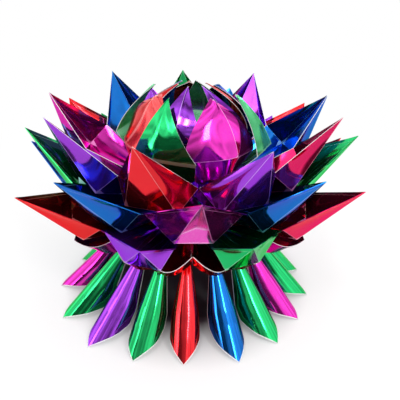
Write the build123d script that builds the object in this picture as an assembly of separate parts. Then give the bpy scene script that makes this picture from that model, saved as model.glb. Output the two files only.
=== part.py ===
from build123d import *
import os
from math import atan2, cos, degrees, hypot, radians, sin, sqrt

import numpy as np

os.makedirs("parts", exist_ok=True)

# Paper lotus of mirror foil card: eighteen trough legs, a ring of shallow scoops,
# three tiers of nine boat-shaped petals, a closed bud of kite petals and a heart,
# all glued by their roots to a rolled collar. The flower's axis is Z, the legs'
# tips stand on Z = 0, and turns are counted from the front (-Y) towards +X.

CARD = 0.5            # thickness of the folded foil card
GLUE_GAP = 0.3        # between a root and the collar it is glued to
SIDE_GAP = 0.4        # between neighbours of one ring
NEST_GAP = 1.5        # a tier's belly above the valley of the tier below

PETALS = 9            # petals in each tier, and scoops in their ring
LOW_TURN = 22.0       # where each ring's first piece points
MIDDLE_TURN = 2.0
TOP_TURN = 24.0
BUD_TURN = 30.0
HEART_TURN = -15.0

COLLAR_RADIUS = 22.0
COLLAR_WALL = 1.0
COLLAR_SKIRT = 3.0    # collar below the legs' roots
COLLAR_LIP = 7.0      # collar above the bud's roots

LEG_TIP_RADIUS = 100.0
LEG_TOP_RADIUS = 52.0
LEG_TOP_HEIGHT = 51.0
LEG_ARCH_TOP = 3.2    # radius of the trough's round back at its upper end
LEG_ARCH_WAIST = 9.6  # and halfway down
LEG_ARCH_FOOT = 11.6  # and at its tip
LEG_FLANK = 6.5       # straight sides below the round back, halfway down
LEG_POINT = 28.0      # length of the pointed end
LEG_BARE_TIP = 19.0   # the straight sides start this far from the tip
LEG_SWEEP = 0.9       # and deepen at this slope
LEG_ROOT_WIDTH = 4.6

SCOOP_LIFT = 6.0      # scoops' roots above the legs' roots
SCOOP_NOSE_RADIUS = 91.0
SCOOP_NOSE_RISE = 9.0
SCOOP_VALLEY_RADIUS = 78.0
SCOOP_VALLEY_RISE = 18.5
SCOOP_SAG = 3.0       # how far the lip droops between nose and valley
SCOOP_WALL = 12.0     # height of the wall at the valleys
SCOOP_NOSE_WALL = 6.0
SCOOP_INSET = 6.0     # how far the wall's foot lies inside the lip

ROOT_STEP = 11.0      # from one tier's roots up to the next
ROOT_HALF_WIDTH = 6.0
PANEL_HALF_WIDTH = 11.5   # middle panel of a petal, where its belly bends
LOW_ROOT_LIFT = 7.0
LOW_BELLY_LIFT = 6.0      # low petals' bellies above the scoops' noses

LOW_VALLEY_RADIUS = 86.0
LOW_VALLEY_HEIGHT = 88.0
LOW_REACH = 35.5
LOW_RISE = 23.0
LOW_BELLY_RADIUS = 88.0

MIDDLE_VALLEY_RADIUS = 86.0
MIDDLE_VALLEY_HEIGHT = 109.0
MIDDLE_REACH = 27.0
MIDDLE_RISE = 23.5
MIDDLE_BELLY_RADIUS = 81.0

TOP_VALLEY_RADIUS = 73.0
TOP_VALLEY_HEIGHT = 120.0
TOP_REACH = 28.0
TOP_RISE = 32.5
TOP_BELLY_RADIUS = 80.0

BUD_PETALS = 7
BUD_WAIST_RADIUS = 41.0
BUD_WAIST_RISE = 11.0
BUD_WIDE_RADIUS = 50.0
BUD_WIDE_RISE = 27.0
BUD_SHOULDER_RADIUS = 42.0
BUD_SHOULDER_RISE = 45.0
BUD_TIP_RADIUS = 25.0
BUD_TIP_RISE = 60.5
BUD_CREASE = 2.5      # how far the middle crease stands out
SHOULDER_SHARE = 0.6  # a kite's width at its shoulder, as a share of its ring's spacing

HEART_PETALS = 6
HEART_WAIST_RADIUS = 31.0
HEART_WAIST_RISE = 12.0
HEART_WIDE_RADIUS = 40.0
HEART_WIDE_RISE = 28.0
HEART_SHOULDER_RADIUS = 31.0
HEART_SHOULDER_RISE = 43.0
HEART_TIP_RADIUS = 9.0
HEART_TIP_RISE = 57.5

LEGS = 2 * PETALS
STEP = 360 / PETALS


def place(radius, turn, height):
    """A point at a radius and height, turned from the front towards +X."""
    return np.array([radius * sin(radians(turn)), -radius * cos(radians(turn)), height])


def beside(radius, side, height, turn):
    """A point at a distance out along a petal's middle line and a distance to its side."""
    return place(hypot(radius, side), turn + degrees(atan2(side, radius)), height)


def folded_card(points, facets):
    """Thickens flat facets that share creases into one solid sheet; the points are its outer side."""
    normals = []
    for a, b, c in facets:
        normal = np.cross(points[b] - points[a], points[c] - points[a])
        normals.append(normal / np.linalg.norm(normal))
    inner = {}
    for name, point in points.items():
        around = np.array([n for n, f in zip(normals, facets) if name in f])
        shift = np.linalg.lstsq(around, np.full(len(around), -CARD), rcond=1e-1)[0]
        inner[name] = point + shift
    edges = [(f[k], f[(k + 1) % 3]) for f in facets for k in range(3)]
    rim = [(a, b) for a, b in edges if (b, a) not in edges]
    corners = [[points[k] for k in f] for f in facets]
    corners += [[inner[k] for k in reversed(f)] for f in facets]
    corners += [[points[b], points[a], inner[a]] for a, b in rim]
    corners += [[points[b], inner[a], inner[b]] for a, b in rim]
    faces = [Face(Wire.make_polygon([tuple(p) for p in c], close=True)) for c in corners]
    return Solid(Shell(faces))


class Tier:
    """One ring of boat-shaped petals: where its valleys, bellies, tips and roots lie."""

    def __init__(self, turn, valley, reach, rise, belly_radius, belly_height, root_height):
        self.turn = turn
        self.valley = valley
        self.reach = reach
        self.rise = rise
        self.belly = (belly_radius, belly_height)
        self.root = (COLLAR_RADIUS + GLUE_GAP, root_height)

    def seat_height(self, radius):
        """Height of the edge between two petals of this tier, where the next tier nests."""
        slope = (self.valley[1] - self.root[1]) / (self.valley[0] - self.root[0])
        return self.valley[1] + slope * (radius - self.valley[0]) + NEST_GAP


def boat_petal(tier, number, nudge):
    """A card folded on two creases into a pointed boat, its root tucked to the collar."""
    turn = tier.turn + STEP * number
    lean, reach_share, rise_share = nudge
    half = STEP / 2
    tip_radius = tier.valley[0] + tier.reach * (1 + reach_share)
    tip_height = tier.valley[1] + tier.rise * (1 + rise_share)
    points = {"tip": place(tip_radius, turn + lean, tip_height)}
    for name, side in (("left", -1), ("right", 1)):
        inset = half - degrees(atan2(SIDE_GAP / 2, tier.valley[0]))
        points["valley " + name] = place(tier.valley[0], turn + side * inset, tier.valley[1])
        points["belly " + name] = beside(tier.belly[0], side * PANEL_HALF_WIDTH, tier.belly[1], turn)
        points["root " + name] = beside(tier.root[0], side * ROOT_HALF_WIDTH, tier.root[1], turn)
    facets = [
        ("tip", "belly left", "belly right"),
        ("belly left", "root left", "root right"),
        ("belly left", "root right", "belly right"),
    ]
    for side, order in (("left", -1), ("right", 1)):
        facets.append(("tip", "belly " + side, "valley " + side)[::order])
        facets.append(("belly " + side, "root " + side, "valley " + side)[::order])
    return folded_card(points, facets)


def kite_petal(turn, count, levels):
    """A creased kite of the closed bud: root, waist, wide and shoulder levels, then its point."""
    half = 180 / count
    root, waist, wide, shoulder, tip = levels
    points = {"tip": place(tip[0], turn, tip[1])}
    for name, (radius, height) in (("waist", waist), ("wide", wide), ("shoulder", shoulder)):
        inset = half - degrees(atan2(SIDE_GAP / 2, radius))
        if name == "shoulder":
            inset *= SHOULDER_SHARE
        points[name + " left"] = place(radius, turn - inset, height)
        points[name + " right"] = place(radius, turn + inset, height)
        points[name + " middle"] = place(radius * cos(radians(inset)) + BUD_CREASE, turn, height)
    root_half = min(ROOT_HALF_WIDTH, 0.8 * root[0] * sin(radians(half)))
    points["root left"] = beside(root[0], -root_half, root[1], turn)
    points["root right"] = beside(root[0], root_half, root[1], turn)
    facets = [("root left", "root right", "waist middle")]
    for side, order in (("left", -1), ("right", 1)):
        facets.append(("waist middle", "root " + side, "waist " + side)[::order])
        for low, high in (("waist", "wide"), ("wide", "shoulder")):
            facets.append((low + " middle", low + " " + side, high + " middle")[::order])
            facets.append((low + " " + side, high + " " + side, high + " middle")[::order])
        facets.append(("shoulder middle", "shoulder " + side, "tip")[::order])
    return folded_card(points, facets)


def trough_section(along, radius, flank):
    """Band of card bent to a U, its ridge on the leg's ridge line."""
    sides = []
    for reach in (radius, radius - CARD):
        back = CenterArc((0, -radius), reach, 0, 180)
        sides += [back, Line(back @ 0, (reach, -radius - flank)), Line(back @ 1, (-reach, -radius - flank))]
    sides += [Line(sides[1] @ 1, sides[4] @ 1), Line(sides[2] @ 1, sides[5] @ 1)]
    section = Plane(origin=(along, 0, 0), x_dir=(0, 1, 0), z_dir=(1, 0, 0))
    return section * make_face(sides)


def trough_leg(turn, reach_share):
    """A long leaf rolled to a widening trough, pointed at the foot, with a flat root."""
    run = LEG_TIP_RADIUS * (1 + reach_share) - LEG_TOP_RADIUS
    length = hypot(run, LEG_TOP_HEIGHT)
    slope = degrees(atan2(LEG_TOP_HEIGHT, run))
    rolled = loft([
        trough_section(0, LEG_ARCH_TOP, CARD),
        trough_section(length / 2, LEG_ARCH_WAIST, LEG_FLANK),
        trough_section(length, LEG_ARCH_FOOT, LEG_FLANK),
    ], ruled=True)
    wide = LEG_ARCH_FOOT + CARD
    deep = LEG_ARCH_FOOT + LEG_FLANK + CARD
    shoulder = length - LEG_POINT
    outline = [
        Line((-CARD, -wide), (shoulder, -wide)),
        TangentArc((shoulder, -wide), (length, 0), tangent=(1, 0)),
        TangentArc((shoulder, wide), (length, 0), tangent=(1, 0)),
        Line((-CARD, wide), (shoulder, wide)),
        Line((-CARD, -wide), (-CARD, wide)),
    ]
    leaf = rolled & extrude(make_face(outline), amount=2 * deep, both=True)
    bare = length - LEG_BARE_TIP
    underside = Polyline(
        (length + CARD, -LEG_ARCH_FOOT), (bare, -LEG_ARCH_FOOT),
        (bare - (deep - LEG_ARCH_FOOT) / LEG_SWEEP, -deep), (length + CARD, -deep), close=True,
    )
    leaf -= extrude(Plane.XZ * make_face(underside), amount=wide, both=True)
    leaf = Rot(0, slope, 0) * leaf
    lift = LEG_TOP_HEIGHT + CARD * cos(radians(slope))
    leaf = Pos(LEG_TOP_RADIUS, 0, lift) * leaf
    inner_end = sqrt((COLLAR_RADIUS + GLUE_GAP) ** 2 - (LEG_ROOT_WIDTH / 2) ** 2)
    root_length = LEG_TOP_RADIUS + LEG_ARCH_TOP / 2 - inner_end
    root = Box(root_length, LEG_ROOT_WIDTH, CARD, align=(Align.MIN, Align.CENTER, Align.MAX))
    leg = leaf + Pos(inner_end, 0, lift - CARD) * root
    return Rot(0, 0, turn - 90) * leg


def scoop(turn, root_height):
    """A shallow cup: its lip swings up from a low nose to the valleys at its sides."""
    half = STEP / 2
    columns = 9
    points = {}
    for column in range(columns):
        share = 2 * column / (columns - 1) - 1
        away = abs(share)
        lip = SCOOP_NOSE_RADIUS + (SCOOP_VALLEY_RADIUS - SCOOP_NOSE_RADIUS) * away
        rise = SCOOP_NOSE_RISE + (SCOOP_VALLEY_RISE - SCOOP_NOSE_RISE) * away ** 1.5
        rise -= SCOOP_SAG * sin(radians(180 * away))
        wall = SCOOP_NOSE_WALL + (SCOOP_WALL - SCOOP_NOSE_WALL) * away
        floor = (SCOOP_VALLEY_RADIUS + COLLAR_RADIUS) / 2
        levels = (
            ("root", COLLAR_RADIUS - COLLAR_WALL / 2, 0),
            ("floor", floor, SCOOP_NOSE_RISE / 4),
            ("foot", lip - SCOOP_INSET, rise - wall),
            ("lip", lip, rise),
        )
        for name, radius, height in levels:
            inset = half - degrees(atan2(SIDE_GAP / 2, radius))
            points[name, column] = place(radius, turn + share * inset, root_height + height)
    facets = []
    for column in range(columns - 1):
        after = column + 1
        for low, high in (("root", "floor"), ("floor", "foot"), ("foot", "lip")):
            facets.append(((low, column), (low, after), (high, after)))
            facets.append(((low, column), (high, after), (high, column)))
    return folded_card(points, facets)


def save(shape, name):
    export_step(shape, f"parts/{name}.step")


# heights that stack up from the legs' roots
scoop_root = LEG_TOP_HEIGHT + SCOOP_LIFT
low_root = scoop_root + LOW_ROOT_LIFT
middle_root = low_root + ROOT_STEP
top_root = middle_root + ROOT_STEP
bud_root = top_root + ROOT_STEP

low = Tier(
    LOW_TURN, (LOW_VALLEY_RADIUS, LOW_VALLEY_HEIGHT), LOW_REACH, LOW_RISE,
    LOW_BELLY_RADIUS, scoop_root + SCOOP_NOSE_RISE + LOW_BELLY_LIFT, low_root,
)
middle = Tier(
    MIDDLE_TURN, (MIDDLE_VALLEY_RADIUS, MIDDLE_VALLEY_HEIGHT), MIDDLE_REACH, MIDDLE_RISE,
    MIDDLE_BELLY_RADIUS, low.seat_height(MIDDLE_BELLY_RADIUS), middle_root,
)
top = Tier(
    TOP_TURN, (TOP_VALLEY_RADIUS, TOP_VALLEY_HEIGHT), TOP_REACH, TOP_RISE,
    TOP_BELLY_RADIUS, middle.seat_height(TOP_BELLY_RADIUS), top_root,
)

# how each petal's point was bent by hand: turn in degrees, then shares of reach and rise
low_nudges = {0: (-3, -0.39, -0.52), 1: (1, 0.03, 0), 2: (3, 0.06, 0.13), 4: (-2, 0.03, 0.09),
              7: (0, 0.03, -0.17), 8: (3, -0.54, -0.74)}
middle_nudges = {0: (1, 0.07, 0), 1: (-2, 0, 0), 2: (1, 0.07, 0), 3: (2, 0.04, 0), 5: (-2, -0.07, 0),
                 6: (-3, 0.15, 0), 7: (-5, -0.04, 0), 8: (1, 0.11, -0.04)}
top_nudges = {0: (-1, 0.11, 0), 1: (4, -0.04, 0), 2: (-6, -0.11, 0), 3: (3, -0.18, 0), 4: (1, -0.21, -0.06),
              5: (-2, -0.07, 0), 6: (5, -0.14, 0), 7: (-3, -0.07, 0), 8: (-1, -0.11, 0)}

tiers = (("low", low, low_nudges), ("middle", middle, middle_nudges), ("top", top, top_nudges))
for ring, tier, nudges in tiers:
    for number in range(PETALS):
        petal = boat_petal(tier, number, nudges.get(number, (0, 0, 0)))
        save(petal, f"{ring}_petal_{number + 1}")

# legs spread a little unevenly where they stand: turn, and share of the reach
leg_nudges = {0: (-1, -0.05), 1: (1, -0.01), 2: (0.5, -0.01), 3: (-1.5, -0.02), 4: (-3.5, -0.01),
              5: (-4.5, -0.04), 13: (-1.5, -0.04), 14: (-1, 0.04), 15: (0, 0.06), 16: (0, 0.05), 17: (-1, -0.01)}
for number in range(LEGS):
    lean, reach_share = leg_nudges.get(number, (0, 0))
    save(trough_leg(360 / LEGS * number + lean, reach_share), f"leg_{number + 1}")

bud_levels = [
    (COLLAR_RADIUS + GLUE_GAP, bud_root),
    (BUD_WAIST_RADIUS, bud_root + BUD_WAIST_RISE),
    (BUD_WIDE_RADIUS, bud_root + BUD_WIDE_RISE),
    (BUD_SHOULDER_RADIUS, bud_root + BUD_SHOULDER_RISE),
    (BUD_TIP_RADIUS, bud_root + BUD_TIP_RISE),
]
for number in range(BUD_PETALS):
    kite = kite_petal(BUD_TURN + 360 / BUD_PETALS * number, BUD_PETALS, bud_levels)
    save(kite, f"bud_petal_{number + 1}")

heart_root = bud_root + COLLAR_LIP + GLUE_GAP
collar_middle = COLLAR_RADIUS - COLLAR_WALL / 2
heart_levels = [
    (sqrt(collar_middle ** 2 - ROOT_HALF_WIDTH ** 2), heart_root),
    (HEART_WAIST_RADIUS, heart_root + HEART_WAIST_RISE),
    (HEART_WIDE_RADIUS, heart_root + HEART_WIDE_RISE),
    (HEART_SHOULDER_RADIUS, heart_root + HEART_SHOULDER_RISE),
    (HEART_TIP_RADIUS, heart_root + HEART_TIP_RISE),
]
for number in range(HEART_PETALS):
    kite = kite_petal(HEART_TURN + 360 / HEART_PETALS * number, HEART_PETALS, heart_levels)
    save(kite, f"heart_petal_{number + 1}")

collar_foot = LEG_TOP_HEIGHT - COLLAR_SKIRT
collar_height = bud_root + COLLAR_LIP - collar_foot
standing = (Align.CENTER, Align.CENTER, Align.MIN)
collar = Cylinder(COLLAR_RADIUS, collar_height, align=standing)
collar -= Cylinder(COLLAR_RADIUS - COLLAR_WALL, collar_height, align=standing)
collar = Pos(0, 0, collar_foot) * collar
for number in range(PETALS):
    collar += scoop(low.turn + STEP * number, scoop_root)
save(collar, "scooped_collar")
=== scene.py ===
from math import asin, atan2, cos, degrees, exp, hypot, pi, radians, sin

import bpy
from mathutils import Matrix, Vector, noise


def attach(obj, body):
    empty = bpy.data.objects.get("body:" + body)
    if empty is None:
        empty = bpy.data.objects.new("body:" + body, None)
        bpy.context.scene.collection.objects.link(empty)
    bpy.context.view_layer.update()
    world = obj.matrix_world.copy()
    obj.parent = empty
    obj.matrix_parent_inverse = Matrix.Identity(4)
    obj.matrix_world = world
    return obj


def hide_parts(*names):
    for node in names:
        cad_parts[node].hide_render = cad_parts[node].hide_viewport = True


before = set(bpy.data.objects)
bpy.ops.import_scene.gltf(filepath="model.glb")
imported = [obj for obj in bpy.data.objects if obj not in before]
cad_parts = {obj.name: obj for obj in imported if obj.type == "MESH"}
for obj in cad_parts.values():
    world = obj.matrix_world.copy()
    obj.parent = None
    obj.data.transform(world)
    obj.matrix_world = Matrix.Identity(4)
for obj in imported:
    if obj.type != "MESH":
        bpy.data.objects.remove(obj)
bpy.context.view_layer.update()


# Collar. The real one is a strip of foil card rolled to a tube and glued edge over
# edge; every petal, scoop and leg is glued to it by its root. It hardly shows.

MM = 0.001
CARD = 0.4
COLLAR_RADIUS = 22.0
COLLAR_FOOT = 48.0
COLLAR_TOP = 104.0
COLLAR_SIDES = 24

# The foil's marks, in repeats per metre. Distances from a fold are in millimetres:
# the crazing beside it is pale over this width, and the far one counts as unmarked.
CRUMPLES = 34.0
GRAIN = 1500.0
CLOUDS = 18.0
CRAZE_WIDTH = 0.24
FAR_FROM_FOLD = 9.0


class Value:
    """One output of a node in a look. Sums written with it add Math nodes."""

    def __init__(self, look, socket):
        self.look = look
        self.socket = socket

    def __add__(self, other):
        return self.look.maths("ADD", self, other)

    __radd__ = __add__

    def __sub__(self, other):
        return self.look.maths("SUBTRACT", self, other)

    def __rsub__(self, other):
        return self.look.maths("SUBTRACT", other, self)

    def __mul__(self, other):
        return self.look.maths("MULTIPLY", self, other)

    __rmul__ = __mul__

    def __truediv__(self, other):
        return self.look.maths("DIVIDE", self, other)

    def kept(self):
        """Held between 0 and 1."""
        return self.look.maths("ADD", self, 0.0, clamp=True)

    def rising(self, start, over):
        """From 0 at the start to 1 at a distance past it."""
        return ((self - start) / over).kept()


class Look:
    """The nodes of one material, or of the room. All of them come from node()."""

    def __init__(self, owner):
        owner.use_nodes = True
        self.owner = owner
        self.tree = owner.node_tree
        self.tree.nodes.clear()

    def node(self, kind, settings=(), sockets=(), output=0):
        node = self.tree.nodes.new(kind)
        for key, value in dict(settings).items():
            setattr(node, key, value)
        for key, value in dict(sockets).items():
            if isinstance(value, Value):
                self.tree.links.new(value.socket, node.inputs[key])
            else:
                node.inputs[key].default_value = value
        if len(node.outputs):
            return Value(self, node.outputs[output])

    def maths(self, operation, *terms, clamp=False):
        settings = {"operation": operation, "use_clamp": clamp}
        return self.node("ShaderNodeMath", settings, dict(enumerate(terms)))

    def mottle(self, spot, scale, detail):
        """Soft random marks, from 0 to 1."""
        sockets = {"Vector": spot, "Scale": scale, "Detail": detail}
        return self.node("ShaderNodeTexNoise", {}, sockets)

    def blend(self, share, first, second):
        """A colour between two colours."""
        first, second = (c if isinstance(c, Value) else (*c, 1) for c in (first, second))
        sockets = {0: share, 6: first, 7: second}
        return self.node("ShaderNodeMix", {"data_type": "RGBA"}, sockets, 2)


def foil(name, colour, wear_and_sheen):
    """Metallised card: a mirror layer that crazes pale along its folds; the same pale is
    also painted on as sheen.
    """
    look = Look(bpy.data.materials.new(name))
    spot = look.node("ShaderNodeTexCoord", output="Object")
    fold_and_sheen = look.node("ShaderNodeAttribute", {"attribute_name": "fold_and_sheen"}, output="Fac")
    crumple = look.mottle(spot, CRUMPLES, 2.0)
    grain = look.mottle(spot, GRAIN, 1.0)
    cloud = look.mottle(spot, CLOUDS, 1.0)
    # Pale where the foil crazes beside a fold, and painted sheen where a piece or band is
    # given a short distance instead.
    crazing_and_sheen = (1.2 - fold_and_sheen / CRAZE_WIDTH + 0.7 * (grain - 0.5)).kept()
    deep = [0.8 * c for c in colour]
    tint = look.blend(((cloud - 0.35) * 2.2).kept(), deep, colour)
    tint = look.blend(crazing_and_sheen * 0.55, tint, wear_and_sheen)
    bump = look.node("ShaderNodeBump", {}, {
        "Strength": 0.6, "Distance": 0.0013, "Height": crumple * 0.9 + grain * 0.01,
    })
    shader = look.node("ShaderNodeBsdfPrincipled", {}, {
        "Base Color": tint,
        "Metallic": 0.95 - 0.38 * crazing_and_sheen,
        "Roughness": 0.08 + 0.05 * grain + 0.25 * crazing_and_sheen,
        "Specular Tint": (*[0.15 + 0.85 * c / max(colour) for c in colour], 1),
        "Coat Weight": 0.3, "Coat Roughness": 0.03, "Coat IOR": 1.4, "Normal": bump,
    })
    look.node("ShaderNodeOutputMaterial", {}, {"Surface": shader})
    return look.owner


def cut_card(name, colour):
    """The card's white core where it was cut, tinged by the foil beside it."""
    look = Look(bpy.data.materials.new(name))
    spot = look.node("ShaderNodeTexCoord", output="Object")
    fibre = look.mottle(spot, 2500.0, 2.0)
    low, high = ([0.85 * core + 0.12 * c for c in colour] for core in (0.75, 1.0))
    bump = look.node("ShaderNodeBump", {}, {
        "Strength": 0.3, "Distance": 0.0001, "Height": fibre,
    })
    shader = look.node("ShaderNodeBsdfPrincipled", {}, {
        "Base Color": look.blend(fibre, low, high), "Roughness": 0.6, "Normal": bump,
    })
    look.node("ShaderNodeOutputMaterial", {}, {"Surface": shader})
    return look.owner


# Each foil's own colour, and the pale one that it takes where it crazes along a fold and
# where a sheen is painted.
COLOURS = {
    "red": ((0.85, 0.022, 0.032), (1.0, 0.42, 0.40)),
    "crimson": ((0.82, 0.012, 0.13), (1.0, 0.45, 0.62)),
    "magenta": ((0.74, 0.03, 0.46), (1.0, 0.60, 0.92)),
    "violet": ((0.36, 0.055, 0.72), (0.78, 0.55, 1.0)),
    "blue": ((0.003, 0.15, 0.56), (0.45, 0.80, 1.0)),
    "green": ((0.012, 0.50, 0.14), (0.50, 1.0, 0.68)),
}
FOILS = {name: foil(name + "_foil", *pair) for name, pair in COLOURS.items()}
EDGES = {name: cut_card(name + "_cut_edge", pair[0]) for name, pair in COLOURS.items()}


def place(radius, turn, height):
    """A point at a radius and height, turned from the front towards +X."""
    return Vector((radius * sin(radians(turn)), -radius * cos(radians(turn)), height))


def off_line(point, start, end):
    """Distance of a point from a straight line between two others."""
    along = (point - start).dot(end - start) / (end - start).length_squared
    return (point - start.lerp(end, min(1, max(0, along)))).length


def within(corners, u, v):
    """A point of a panel, and how far in from the rim it is, 1 in the middle."""
    if len(corners) == 3:
        first, second, third = corners
        point = first * (1 - u - v) + second * u + third * v
        return point, 27 * u * v * (1 - u - v)
    low = corners[0].lerp(corners[1], u)
    high = corners[3].lerp(corners[2], u)
    return low.lerp(high, v), 16 * u * (1 - u) * v * (1 - v)


class Card:
    """A sheet of card, built in panels or rows of points.

    Its hollow is a point on its inner side. Buckles repeat at the ripple length, in
    millimetres, and folds over sharp_fold degrees look sharp.
    """

    ripple_length = 32
    sharp_fold = 9

    def __init__(self, hollow, seed):
        self.hollow = hollow
        self.wave = Vector((17.3 * seed, 5.9 * seed, 11.1 * seed))
        self.points = []
        self.fold_and_sheen_distance = []
        self.found = {}
        self.faces = []
        self.bare = []

    def point(self, spot, fold_and_sheen_distance=FAR_FROM_FOLD):
        """The number of the point at a spot; panels that meet there share it."""
        key = tuple(round(c, 3) for c in spot)
        if key not in self.found:
            self.found[key] = len(self.points)
            self.points.append(spot.copy())
            self.fold_and_sheen_distance.append(fold_and_sheen_distance)
        return self.found[key]

    def panel(self, corners, folds=(), bulge=0.0, buckle=0.5, cuts=8, wear_and_sheen=FAR_FROM_FOLD):
        """Adds a panel of three or four corners; folds are the sides that are creases.

        It bulges away from the hollow and buckles at random, both in millimetres. A short
        distance given last paints the whole of it as pale as the card is that far from a
        fold:
        a painted sheen.
        """
        count = len(corners)
        normal = (corners[1] - corners[0]).cross(corners[-1] - corners[0]).normalized()
        middle = sum(corners, Vector()) / count
        if normal.dot(self.hollow - middle) > 0:
            normal = -normal
            corners = [corners[0], *reversed(corners[1:])]
            folds = [(count - 1 - side) % count for side in folds]
        creases = [(corners[k], corners[(k + 1) % count]) for k in folds]
        grid = {}
        for i in range(cuts + 1):
            for j in range(cuts + 1 - (i if count == 3 else 0)):
                flat, inward = within(corners, i / cuts, j / cuts)
                near = min([off_line(flat, *ends) for ends in creases], default=wear_and_sheen)
                ripple = noise.noise(flat / self.ripple_length + self.wave)
                moved = flat + normal * inward * (bulge + buckle * ripple)
                grid[i, j] = self.point(moved, min(near, wear_and_sheen))
        for i, j in grid:
            if (i + 1, j) in grid and (i, j + 1) in grid:
                corner = grid.get((i + 1, j + 1))
                face = [grid[i, j], grid[i + 1, j], grid[i, j + 1]]
                if corner is not None:
                    face.insert(2, corner)
                self.faces.append(face)

    def weave(self, rows, turned_over=False, bare_border=False):
        """Adds the faces between rows of points, as triangles where points meet."""
        for first, second in zip(rows, rows[1:]):
            for j in range(len(first) - 1):
                face = [first[j], second[j], second[j + 1], first[j + 1]]
                if turned_over:
                    face[1:] = reversed(face[1:])
                face = list(dict.fromkeys(face))
                if len(face) > 2:
                    if bare_border and j in (0, len(first) - 2):
                        self.bare.append(len(self.faces))
                    self.faces.append(face)

    def make(self, name, colour, folded_rim=False):
        """Gives the sheet its thickness, towards the hollow, and its cut edges."""
        mesh = bpy.data.meshes.new(name)
        mesh.from_pydata([p * MM for p in self.points], [], self.faces)
        fold_and_sheen = mesh.attributes.new("fold_and_sheen", "FLOAT", "POINT")
        fold_and_sheen.data.foreach_set("value", self.fold_and_sheen_distance)
        mesh.shade_smooth()
        # Bare faces have the second finish, and a rim has the one after its face's own.
        rim = FOILS[colour] if folded_rim else EDGES[colour]
        for finish in (FOILS[colour], rim, rim):
            mesh.materials.append(finish)
        for face in self.bare:
            mesh.polygons[face].material_index = 1
        piece = bpy.data.objects.new(name, mesh)
        bpy.context.scene.collection.objects.link(piece)
        thicken = piece.modifiers.new("thickness", "SOLIDIFY")
        thicken.thickness = CARD * MM
        thicken.offset = -1
        thicken.material_offset_rim = 1
        shown = piece.evaluated_get(bpy.context.evaluated_depsgraph_get())
        piece.data = bpy.data.meshes.new_from_object(shown)
        piece.modifiers.clear()
        piece.data.set_sharp_from_angle(angle=radians(self.sharp_fold))
        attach(piece, "root")
        return piece


tube = Card(place(0, 0, 70), 1)
for side in range(COLLAR_SIDES):
    turns = [360 / COLLAR_SIDES * edge for edge in (side, side + 1)]
    foot = [place(COLLAR_RADIUS, turn, COLLAR_FOOT) for turn in turns]
    top = [place(COLLAR_RADIUS, turn, COLLAR_TOP) for turn in turns]
    tube.panel([*foot, *reversed(top)], buckle=0.0, cuts=2)
collar = tube.make("collar", "violet")
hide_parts("scooped_collar")


# Legs. Eighteen leaves of foil card, each bent lengthwise to a U-shaped trough that
# ends in a point where it stands. A flat tab runs in from the narrow end and is glued
# to the collar under the flower.

GLUE_GAP = 0.3
ROOT_RADIUS = COLLAR_RADIUS + GLUE_GAP
LEG_TOP = (52.0, 51.0)  # radius and height where the trough starts
LEG_TIP_RADIUS = 100.0
LEG_ARCH = (3.2, 9.6, 11.6)  # its bend's radius at the root, halfway and at the point
LEG_FLANK = 6.5
LEG_POINT_SPREAD = 0.9  # half width gained for each millimetre back from the point
LEG_BORDER = 0.9
LEG_FLUTES = ((0.035, 1.7, 0.8), (0.006, 5.3, 1.0))  # depth, how many, drift by leg
LEG_ROWS, LEG_COLUMNS, LEG_CROWDING = 36, 32, 1.5
TAB_WIDTH, TAB_LAP, TAB_DROP = 4.6, 1.0, 0.05
LEG_STEP = 20
LEG_COLOURS = (
    "red blue green magenta green green blue red violet "
    "magenta blue red violet green magenta green violet green"
).split()
# By leg: degrees that it is turned aside, and millimetres that its point reaches out.
LEG_NUDGES = {
    0: (-1, -5), 1: (1, -1), 2: (0.5, -1), 3: (-1.5, -2), 4: (-3.5, -1), 5: (-4.5, -4),
    13: (-1.5, -4), 14: (-1, 4), 15: (0, 6), 16: (0, 5), 17: (-1, -1),
}


def beside(radius, side, height, turn):
    """A point by its distances out along a piece's middle line and to its side."""
    return place(hypot(radius, side), turn + degrees(atan2(side, radius)), height)


def between(levels, share):
    """Runs evenly through a list of levels as the share goes from 0 to 1."""
    reached = share * (len(levels) - 1)
    step = min(int(reached), len(levels) - 2)
    return levels[step] + (levels[step + 1] - levels[step]) * (reached - step)


def trough(turn, reach, seed):
    """The leaf as rows of points round its U, from the root to the point."""
    leaf = Card(place(60, turn, -40), seed)
    run = LEG_TIP_RADIUS + reach - LEG_TOP[0]
    length = hypot(run, LEG_TOP[1])
    slope = atan2(LEG_TOP[1], run)
    rows = []
    for i in range(LEG_ROWS + 1):
        share = 1 - (1 - i / LEG_ROWS) ** LEG_CROWDING
        along = length * share
        radius = between(LEG_ARCH, share)
        arch = radius * pi / 2
        flank = between((CARD, LEG_FLANK, LEG_FLANK), share)
        wide = min(arch + flank, LEG_POINT_SPREAD * (length - along))
        inner = max(0.0, wide - LEG_BORDER)
        middle = [inner * (2 * j / (LEG_COLUMNS - 2) - 1) for j in range(LEG_COLUMNS - 1)]
        row = []
        for unrolled in (-wide, *middle, wide):
            bend = max(-pi / 2, min(pi / 2, unrolled / radius))
            past = max(0.0, abs(unrolled) - arch)
            flute = 1
            for depth, count, drift in LEG_FLUTES:
                flute -= depth * share * abs(sin(count * bend + drift * seed))
            across = radius * sin(bend) * flute
            sunk = radius * (1 - cos(bend) * flute) + past
            out = LEG_TOP[0] + along * cos(slope) - sunk * sin(slope)
            height = LEG_TOP[1] + CARD - along * sin(slope) - sunk * cos(slope)
            row.append(leaf.point(beside(out, across, height, turn)))
        rows.append(row)
    leaf.weave(rows, bare_border=True)
    return leaf


def root_tab(turn, seed):
    """The flat strip that runs in from the trough to the collar."""
    tab = Card(place(40, turn, -40), seed)
    height = LEG_TOP[1] + CARD - TAB_DROP
    ends = (ROOT_RADIUS, LEG_TOP[0] + TAB_LAP)
    corners = [beside(out, -TAB_WIDTH / 2, height, turn) for out in ends]
    corners += [beside(out, TAB_WIDTH / 2, height, turn) for out in reversed(ends)]
    tab.panel(corners, cuts=4, buckle=0)
    return tab


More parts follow.
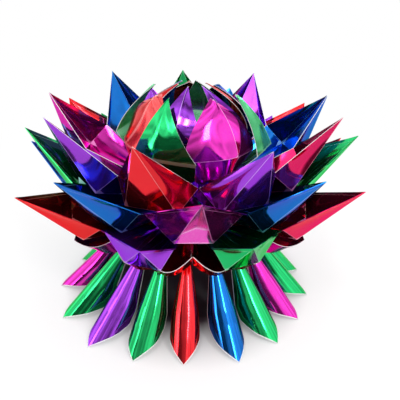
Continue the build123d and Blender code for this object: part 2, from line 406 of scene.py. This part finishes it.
for number, colour in enumerate(LEG_COLOURS):
    lean, reach = LEG_NUDGES.get(number, (0, 0))
    turn = LEG_STEP * number + lean
    leg = trough(turn, reach, number).make(f"leg_leaf_{number + 1}", colour)
    tab = root_tab(turn, number).make(f"leg_tab_{number + 1}", colour)
    for piece in (leg, tab):
        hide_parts(f"leg_{number + 1}")


# Scoops. Nine cups of foil card between the legs and the petals. Each has a lip trimmed
# to two rounded lobes and a wall that leans in under it; its floor runs in to the
# collar and is glued there.

STEP = 40
NEIGHBOUR_GAP = 0.4
SCOOP_TURN = 22
SCOOP_ROOT = 57.0
SCOOP_NOSE = (91.0, 9.0)  # radius, and height over the root, of the lip's middle
SCOOP_VALLEY = (78.0, 18.5)  # the same of its two ends
SCOOP_LOBE = 1.5
SCOOP_SAG = 3.0
SCOOP_WALL = (6.0, 12.0)  # its height at the middle and at the ends
SCOOP_BELLY = 0.45
SCOOP_INSET = 9.5
SCOOP_FLOOR = (50, 2.3)
SCOOP_ROWS, SCOOP_COLUMNS = 14, 40
SCOOP_COLOURS = "red magenta magenta blue violet green blue magenta red".split()
# The two at the front are pushed in and up in the middle; their walls follow in part.
SCOOP_NUDGES = {0: (-5, 8), 8: (-5, 8)}
PUSH_WIDTH, PUSH_WALL = 0.35, 0.8


def half_step(radius):
    """Half of a ninth of the ring in degrees, less half the gap to the neighbour."""
    return STEP / 2 - degrees(atan2(NEIGHBOUR_GAP / 2, radius))


def cup(turn, nudge, seed):
    """A scoop as rows from its lip, down its wall and along its floor to the collar."""
    card = Card(place(40, turn, 400), seed)
    rows = []
    for i in range(SCOOP_ROWS + 1):
        row = []
        for j in range(SCOOP_COLUMNS + 1):
            share = 2 * j / SCOOP_COLUMNS - 1
            away = abs(share)
            pushed = exp(-(away / PUSH_WIDTH) ** 2)
            lip = between((SCOOP_NOSE[0], SCOOP_VALLEY[0]), away) + nudge[0] * pushed
            rise = between((SCOOP_NOSE[1], SCOOP_VALLEY[1]), away ** SCOOP_LOBE)
            rise = rise - SCOOP_SAG * sin(pi * away) + nudge[1] * pushed
            wall = between(SCOOP_WALL, away) + nudge[1] * pushed * PUSH_WALL
            profile = (
                (lip, rise),
                (lip - 0.5 * SCOOP_INSET, rise - wall * SCOOP_BELLY),
                (lip - SCOOP_INSET, rise - wall),
                SCOOP_FLOOR,
                (ROOT_RADIUS, 0),
            )
            radius, height = (between(levels, i / SCOOP_ROWS) for levels in zip(*profile))
            spot = place(radius, turn + share * half_step(radius), SCOOP_ROOT + height)
            row.append(card.point(spot))
        rows.append(row)
    card.weave(rows)
    return card


for number, colour in enumerate(SCOOP_COLOURS):
    turn = SCOOP_TURN + STEP * number
    card = cup(turn, SCOOP_NUDGES.get(number, (0, 0)), number)
    scoop = card.make(f"scoop_{number + 1}", colour)
    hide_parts("scooped_collar")


# Low, middle and top petals. Three rings of nine. Each petal is one card folded on two
# creases into a pointed boat with a flat middle panel, and glued to the collar by its
# root; the rims of the low and middle ones are folded in as hems.

ROOT_HALF_WIDTH = 6.0

# A petal's throat is dented at a point that lies a share aside and a share in, and
# some millimetres up or down, by the petal's seed.
THROAT_SWAY, THROAT_IN, THROAT_LIFT = 0.2, 0.3, 2.2

# The front petal of the top ring has smooth crowned sides. The front one of the middle
# ring is buckled under its tip: its brow and the new bends of its two creases are given
# by radius, degrees from its middle, and height, and its middle panel is painted pale as
# a sheen, palest at the tip.
SMOOTH_BOAT = "top_boat_1"
BUCKLED_BOAT = "middle_boat_1"
BUCKLED_BROW = (84.5, 1, 101)
BUCKLED_BENDS = ((81, -9.2, 91), (81, 10.5, 95))
SHEEN_TIP, SHEEN_MIDDLE = 0.17, 0.24

# Valley and belly are the radius and height of a petal's outer corners and of the foot
# of its middle panel, which is two times "panel" wide. Reach and rise are the tip's
# distances out and up from there. Nudges turn a tip aside in degrees and move it out
# and up in millimetres; gaps draw the left and right outer corners in, in degrees.
LOW = {
    "turn": 22, "seed": 60, "valley": (86, 88), "reach": 35.5, "rise": 23,
    "belly": (88, 72), "root": 64, "hem": 2.2, "hem_lean": 35,
    "panel": 11.5, "bulge": 0.8, "side_bulge": -0.7,
    "colours": "green crimson red violet magenta green blue red violet",
    "nudges": {0: (-3, -14, -12), 1: (1, 1, 0), 2: (3, 2, 3), 4: (-2, 1, 2),
               7: (0, 1, -4), 8: (3, -19, -17)},
    "gaps": {0: (7, 0), 8: (0, 7)},
}
MIDDLE = {
    "turn": 2, "seed": 120, "valley": (86, 109), "reach": 27, "rise": 23.5,
    "belly": (81, 87.6), "root": 75, "hem": 2.6, "hem_lean": 40,
    "panel": 11.5, "bulge": 0.8, "side_bulge": -1.0,
    "colours": "magenta blue green red blue violet red green blue",
    "nudges": {0: (1, 2, 0), 1: (-2, 0, 0), 2: (1, 2, 0), 3: (2, 1, 0), 5: (-2, -2, 0),
               6: (-3, 4, 0), 7: (-5, -1, 0), 8: (1, 3, -1)},
    "gaps": {},
}
TOP = {
    "turn": 24, "seed": 60, "valley": (73, 120), "reach": 28, "rise": 32.5,
    "belly": (80, 107.3), "root": 86, "hem": 0, "hem_lean": 0,
    "panel": 16.0, "bulge": 0.1, "side_bulge": -1.0,
    "colours": "violet crimson blue violet green blue magenta violet red",
    "nudges": {0: (-1, 3, 0), 1: (4, -1, 0), 2: (-6, -3, 0), 3: (3, -5, 0),
               4: (1, -6, -2), 5: (-2, -2, 0), 6: (5, -4, 0), 7: (-3, -2, 0),
               8: (-1, -3, 0)},
    "gaps": {},
}


def folded_hem(card, side, tip, dip, belly, root, tier):
    """Folds a strip in along the rim; returns the two ends of the fold."""
    share = tier["hem"] / off_line(belly, tip, dip)
    near_tip, near_dip = tip.lerp(belly, share), dip.lerp(belly, share)
    axis = (near_dip - near_tip).normalized()
    swing = Matrix.Rotation(radians(tier["hem_lean"]) * side, 3, axis)
    dip = near_dip + swing @ (dip - near_dip)
    card.panel([tip, dip, near_dip, near_tip], folds=(2,), buckle=0.1)
    card.panel([dip, root, near_dip], buckle=0.1)
    return near_tip, near_dip


def boat(name, colour, turn, tier, nudge, seed, gaps):
    """One boat-shaped petal of a ring, panel by panel."""
    lean, reach, rise = nudge
    valley, belly = tier["valley"], tier["belly"]
    out = valley[0] + tier["reach"] + reach
    tip = place(out, turn + lean, valley[1] + tier["rise"] + rise)
    card = Card(place(valley[0] * 0.7, turn, tip.z + 40), seed)
    bellies, roots = {}, {}
    for side in (-1, 1):
        bellies[side] = beside(belly[0], side * tier["panel"], belly[1], turn)
        roots[side] = beside(ROOT_RADIUS, side * ROOT_HALF_WIDTH, tier["root"], turn)

    # The middle panel, from the tip down to the bellies.
    bends = {}
    if name == BUCKLED_BOAT:
        brow, bends[-1], bends[1] = (
            place(radius, turn + aside, height)
            for radius, aside, height in (BUCKLED_BROW, *BUCKLED_BENDS))
        foot = bellies[-1].lerp(bellies[1], 0.5)
        for side in (-1, 1):
            upper = [tip, bends[side], brow]
            lower = [brow, bends[side], bellies[side], foot]
            card.panel(upper, folds=(0, 1), bulge=0.4, cuts=12, wear_and_sheen=SHEEN_TIP)
            card.panel(lower, folds=(0, 2), bulge=0.2, wear_and_sheen=SHEEN_MIDDLE)
    else:
        corners = [tip, bellies[-1], bellies[1]]
        card.panel(corners, folds=(0, 1, 2), bulge=tier["bulge"], cuts=14)

    # The throat, from the bellies in to the root, dented at a point of its own.
    outer = bellies[-1].lerp(bellies[1], 0.5 + THROAT_SWAY * sin(5 * seed))
    throat = outer.lerp(roots[-1].lerp(roots[1], 0.5), THROAT_IN)
    throat.z += THROAT_LIFT * sin(3 * seed + 1)
    fan = (bellies[-1], roots[-1], roots[1], bellies[1])
    for start, end in zip(fan, fan[1:] + fan[:1]):
        card.panel([throat, start, end], folds=(1,), bulge=-0.4)

    # The two sides, from the creases up to the rims.
    smooth = name == SMOOTH_BOAT
    buckle, bulge = (0.2, 1.8) if smooth else (0.5, tier["side_bulge"])
    for side, gap in zip((-1, 1), gaps):
        belly, root = bellies[side], roots[side]
        high = tip
        low = place(valley[0], turn + side * (half_step(valley[0]) - gap), valley[1])
        if tier["hem"]:
            high, low = folded_hem(card, side, high, low, belly, root, tier)
        card.panel([high, low, belly], folds=(1, 2), bulge=bulge, buckle=buckle, cuts=14)
        card.panel([low, root, belly], folds=(1, 2), bulge=-0.8, cuts=10)
        if bends:
            card.panel([tip, belly, bends[side]], folds=(0, 1, 2), buckle=0.1)
    petal = card.make(name, colour, folded_rim=tier["hem"] > 0)
    return petal


for ring, tier in {"low": LOW, "middle": MIDDLE, "top": TOP}.items():
    for number, colour in enumerate(tier["colours"].split()):
        petal = boat(
            f"{ring}_boat_{number + 1}", colour, tier["turn"] + STEP * number, tier,
            tier["nudges"].get(number, (0, 0, 0)), tier["seed"] + number,
            tier["gaps"].get(number, (0, 0)))
        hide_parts(f"{ring}_petal_{number + 1}")


# Bud and heart. Creased kites of foil card, glued by their roots to the collar's top,
# that close round the middle: seven in the bud, and six narrower ones inside it, whose
# points show between the outer ones.

KITE_ROWS, KITE_COLUMNS = (4, 6, 24), 24  # rows up to the waist, the crease, the tip
KITE_GAP = 0.3  # degrees left free at each side
KITE_ROOT = 0.8  # the root's width at most, as a share of the kite's place
KITE_RIPPLE = 22


def through(points, height):
    """Radius at a height on the smooth curve through three (radius, height) points."""
    total = 0
    for k, (radius, own) in enumerate(points):
        one, other = (p[1] for n, p in enumerate(points) if n != k)
        share = radius * (height - one) * (height - other)
        total += share / ((own - one) * (own - other))
    return total


def kite(name, colour, turn, count, levels, habit, seed):
    """One kite, creased across at its widest and down its length."""
    root, _, wide, shoulder, tip = levels
    tip = (tip[0] + habit["tip_out"], tip[1])
    ridge_at = habit["ridge_at"]
    half = 180 / count - KITE_GAP
    root_sine = min(ROOT_HALF_WIDTH / root[0], KITE_ROOT * sin(radians(half)))
    halves = (degrees(asin(root_sine)), half, half * habit["wide"])
    card = Card(place(0, 0, (root[1] + tip[1]) / 2), seed)
    steps = []
    for stage, cuts in enumerate(KITE_ROWS):
        steps += [(stage, k / cuts) for k in range(cuts)]
    rows = []
    for stage, share in (*steps, (2, 1.0)):
        if stage < 2:
            ends = zip(*levels[stage:stage + 2])
            radius, height = (between(pair, share) for pair in ends)
            spread = between(halves[stage:stage + 2], share)
            rising = 0
        else:
            height = wide[1] + (tip[1] - wide[1]) * share
            radius = through((wide, shoulder, tip), height)
            width = wide[0] * sin(radians(halves[2])) * (1 - share)
            width *= 1 + habit["full"] * share
            spread = degrees(asin(min(0.9, width / radius)))
            rising = share
        out = radius * cos(radians(spread))
        width = radius * sin(radians(spread))
        own_turn = turn + habit["shift"] * min(1, stage + share) + habit["lean"] * rising
        flare = habit["flare"] * (0, share, 1 - rising)[stage]
        row = []
        for j in range(KITE_COLUMNS + 1):
            across = 2 * j / KITE_COLUMNS - 1
            off_ridge = abs(across - ridge_at)
            near = off_ridge / (1 - ridge_at if across > ridge_at else 1 + ridge_at)
            tent = habit["ridge"] * (1 - near) * (1 - 0.5 * rising)
            tent += habit["swell"] * (1 - across ** 2) * (1 - rising)
            wave = noise.noise(Vector((across * 1.2, height / KITE_RIPPLE, seed)))
            ripple = wave * (1 - abs(across)) * 1.2
            tucked = habit["tuck"] * across ** 2 * (stage > 0)
            fuller = 1 + habit["full_right"] * rising * (across > 0)
            forward = out + tent + ripple - tucked + flare
            spot = beside(forward, width * across * fuller, height, own_turn)
            crease_and_sheen = off_ridge * width if habit["ridge"] else FAR_FROM_FOLD
            # Painted sheen: capping the distance pales the whole kite, and the band below
            # the cross crease, as if beside a fold.
            crease_and_sheen = min(crease_and_sheen, abs(height - wide[1]), habit["wear_and_sheen"])
            if stage == 1 and share > 0.8:
                crease_and_sheen = min(crease_and_sheen, habit["sheen_band"])
            row.append(card.point(spot, crease_and_sheen))
        rows.append(row)
    card.weave(rows, turned_over=True)
    petal = card.make(name, colour)
    return petal


# How a kite is bent. Wide, full and full_right are shares of its width: at the cross
# crease, above it, and above it on the right. Shift and lean are degrees that the kite
# and its point stand aside. Ridge (at a share across), swell, tip_out, tuck and flare
# are millimetres out or in. Two more are painted sheen, as distances from a fold: one
# pales the whole kite, the other a band just below the cross crease.
PLAIN = {
    "wide": 1, "full": 0.15, "full_right": 0, "shift": 0, "lean": 0, "ridge": 2.5,
    "ridge_at": 0, "swell": 0, "tip_out": 0, "tuck": 0, "flare": 0,
    "wear_and_sheen": FAR_FROM_FOLD, "sheen_band": FAR_FROM_FOLD,
}
TUCKED = {**PLAIN, "wide": 1.25, "full": 1.5, "tuck": 3.5}

# Levels are the radius and height of the root, the waist, the cross crease, the
# shoulder and the tip.
BUD = {
    "turn": 30, "seed": 0, "colours": "magenta green blue red green red green",
    "levels": ((22.3, 97), (41, 108), (50, 124), (42, 142), (25, 157.5)),
    "habits": {
        0: {**TUCKED, "full": 1.0, "ridge_at": 1 / 3, "swell": 1.5, "tip_out": 2},
        1: {**PLAIN, "wide": 0.85, "shift": -11, "flare": 6, "tip_out": 5, "ridge": 4,
            "ridge_at": 0.5, "wear_and_sheen": 0.2},
        2: TUCKED,
        3: TUCKED,
        4: {**PLAIN, "wide": 0.8, "shift": 8, "flare": 5, "tip_out": 3, "ridge": 4,
            "ridge_at": -0.5, "wear_and_sheen": 0.11},
        5: {**TUCKED, "wide": 1.35, "full": 1.6, "lean": 16, "shift": 3, "swell": 3.0,
            "tip_out": 2, "wear_and_sheen": 0.22},
        6: {**PLAIN, "full": 0.0, "full_right": 0.35, "ridge": 0, "swell": 2.0,
            "lean": -11, "tip_out": 2, "sheen_band": 0.03},
    },
}
HEART = {
    "turn": -15, "seed": 50, "colours": "violet violet red green blue red",
    "levels": ((20.65, 104.3), (31, 116.3), (40, 132.3), (31, 147.3), (9, 161.8)),
    "habits": {3: {**PLAIN, "wear_and_sheen": 0.16}},
}

for ring, tier in {"bud": BUD, "heart": HEART}.items():
    colours = tier["colours"].split()
    count = len(colours)
    for number, colour in enumerate(colours):
        turn = tier["turn"] + 360 / count * number
        habit = tier["habits"].get(number, PLAIN)
        name, seed = f"{ring}_kite_{number + 1}", tier["seed"] + number
        petal = kite(name, colour, turn, count, tier["levels"], habit, seed)
        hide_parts(f"{ring}_petal_{number + 1}")


# Studio. A white table before a white background. The flower stands on the table, two
# soft lamps stand in front of it, and windows of light that its foil mirrors stand
# round it.

def studio_white(name):
    """White that stays white behind the flower; beneath it the glow fades so that the
    cast shadow shows, deepened by painted shadow in the paper's colour.
    """
    look = Look(bpy.data.materials.new(name))
    spot = look.node("ShaderNodeTexCoord", output="Object")
    away = look.node("ShaderNodeVectorMath", {"operation": "LENGTH"}, {0: spot}, "Value")
    camera_ray = look.node("ShaderNodeLightPath", output="Is Camera Ray")
    glossy_ray = look.node("ShaderNodeLightPath", output="Is Glossy Ray")
    mirrored = glossy_ray * (0.2 + 0.8 * away.rising(0.12, over=0.1))
    glowing = (camera_ray + mirrored).kept() * away.rising(0.055, over=0.05)
    glowing = glowing * (0.6 + 0.4 * away.rising(0.16, over=0.25))
    # Painted shadow: the paper is near black beneath the flower and white a few
    # centimetres out.
    painted_shadow_colour, lit = (0.06, 0.06, 0.06), (0.95, 0.95, 0.95)
    painted_shadow_tone = look.blend(away.rising(0.05, over=0.05), painted_shadow_colour, lit)
    paper = look.node("ShaderNodeBsdfPrincipled", {}, {
        "Base Color": painted_shadow_tone, "Roughness": 1.0, "Specular IOR Level": 0.0,
    })
    white = look.node("ShaderNodeEmission", {}, {"Color": (1, 1, 1, 1), "Strength": 1.0})
    mixed = look.node("ShaderNodeMixShader", {}, {0: glowing, 1: paper, 2: white})
    look.node("ShaderNodeOutputMaterial", {}, {"Surface": mixed})
    return look.owner


bpy.ops.mesh.primitive_circle_add(
    vertices=96, radius=3.0, fill_type="NGON", location=(0, 0, 0))
floor = bpy.context.object
floor.name = "table"
floor.data.materials.append(studio_white("table_white"))

# A window's strength, then from where to where it stands and how softly it ends, in
# degrees turned from the front and in degrees lifted from level.
WINDOWS = (
    (1.9, (-134, -56, 18), (-90, 33, 12)),
    (0.8, (-30, 52, 18), (12, 54, 12)),
    (1.4, (22, 126, 18), (-90, 53, 14)),
    (1.5, (-124, -22, 14), (28, 86, 8)),
    (1.7, (-30, 62, 12), (48, 86, 8)),
    (5.0, (-70, -54, 3), (-8, 62, 8)),
)


def inside(value, low, high, soft):
    """One inside a range of degrees, fading to nothing outside it."""
    return value.rising(low, over=soft) * ((high - value) / soft).kept()


room = Look(bpy.data.worlds.new("room"))
bpy.context.scene.world = room.owner
way = room.node("ShaderNodeTexCoord", output="Generated")
side, front, up = (
    room.node("ShaderNodeSeparateXYZ", {}, {0: way}, axis) for axis in range(3))
turned = room.maths("ARCTAN2", side, front * -1) * (180 / pi)
lifted = room.maths("ARCSINE", up) * (180 / pi)
# What the foil mirrors is dim, lighter behind the flower and in the windows, and its
# clutter breaks it up. Matt surfaces are lit from overhead, and the camera sees white.
light = 0.10 + 0.95 * room.maths("ABSOLUTE", turned).rising(115, over=30)
for brightness, turns, lifts in WINDOWS:
    light += brightness * inside(turned, *turns) * inside(lifted, *lifts)
clutter = (room.mottle(way, 4.5, 1.0) - 0.34) * 3.2
light = light * (0.5 + 0.9 * clutter.kept())
overhead = 0.25 + 1.6 * lifted.rising(40, over=20)
camera_ray = room.node("ShaderNodeLightPath", output="Is Camera Ray")
glossy_ray = room.node("ShaderNodeLightPath", output="Is Glossy Ray")
strength = overhead + glossy_ray * (light - overhead) + camera_ray * (1 - overhead)
glow = room.node("ShaderNodeBackground", {}, {
    "Color": (1, 1, 1, 1), "Strength": strength,
})
room.node("ShaderNodeOutputWorld", {}, {"Surface": glow})

LAMP_AIM = Vector((0, 0, 0.1))


def lamp(name, spot, size, power):
    """A flat soft lamp that faces the flower."""
    source = bpy.data.lights.new(name, "AREA")
    source.shape = "RECTANGLE"
    source.size, source.size_y = size
    source.energy = power
    holder = bpy.data.objects.new(name, source)
    holder.location = spot
    holder.rotation_euler = (LAMP_AIM - Vector(spot)).to_track_quat("-Z", "Y").to_euler()
    bpy.context.scene.collection.objects.link(holder)


lamp("window_lamp", (-0.22, -0.52, 1.02), (0.12, 0.30), 2.2)
lamp("side_lamp", (0.50, -0.78, 0.78), (0.20, 0.50), 5.0)


# Camera. It stands where the photograph was taken from: close in front of the flower
# and a little above it, looking down, and tipped by a degree or two.

CAMERA_SPOT = (0, -0.292, 0.232)
YAW, PITCH, ROLL = radians(1.58), radians(28.6), radians(1.93)

right = Vector((cos(YAW), -sin(YAW), 0))
ahead = Vector((sin(YAW), cos(YAW), 0))
look_along = ahead * cos(PITCH) - Vector((0, 0, sin(PITCH)))
upward = ahead * sin(PITCH) + Vector((0, 0, cos(PITCH)))
across = right * cos(ROLL) + upward * sin(ROLL)
above = upward * cos(ROLL) - right * sin(ROLL)
view = bpy.data.cameras.new("camera")
view.lens = 38.97
view.sensor_width = 36.0
view.clip_start = 0.01
camera = bpy.data.objects.new("camera", view)
facing = Matrix((across, above, -look_along)).transposed().to_4x4()
camera.matrix_world = Matrix.Translation(CAMERA_SPOT) @ facing
bpy.context.scene.collection.objects.link(camera)
bpy.context.scene.camera = camera

bpy.context.scene.view_settings.view_transform = "Standard"
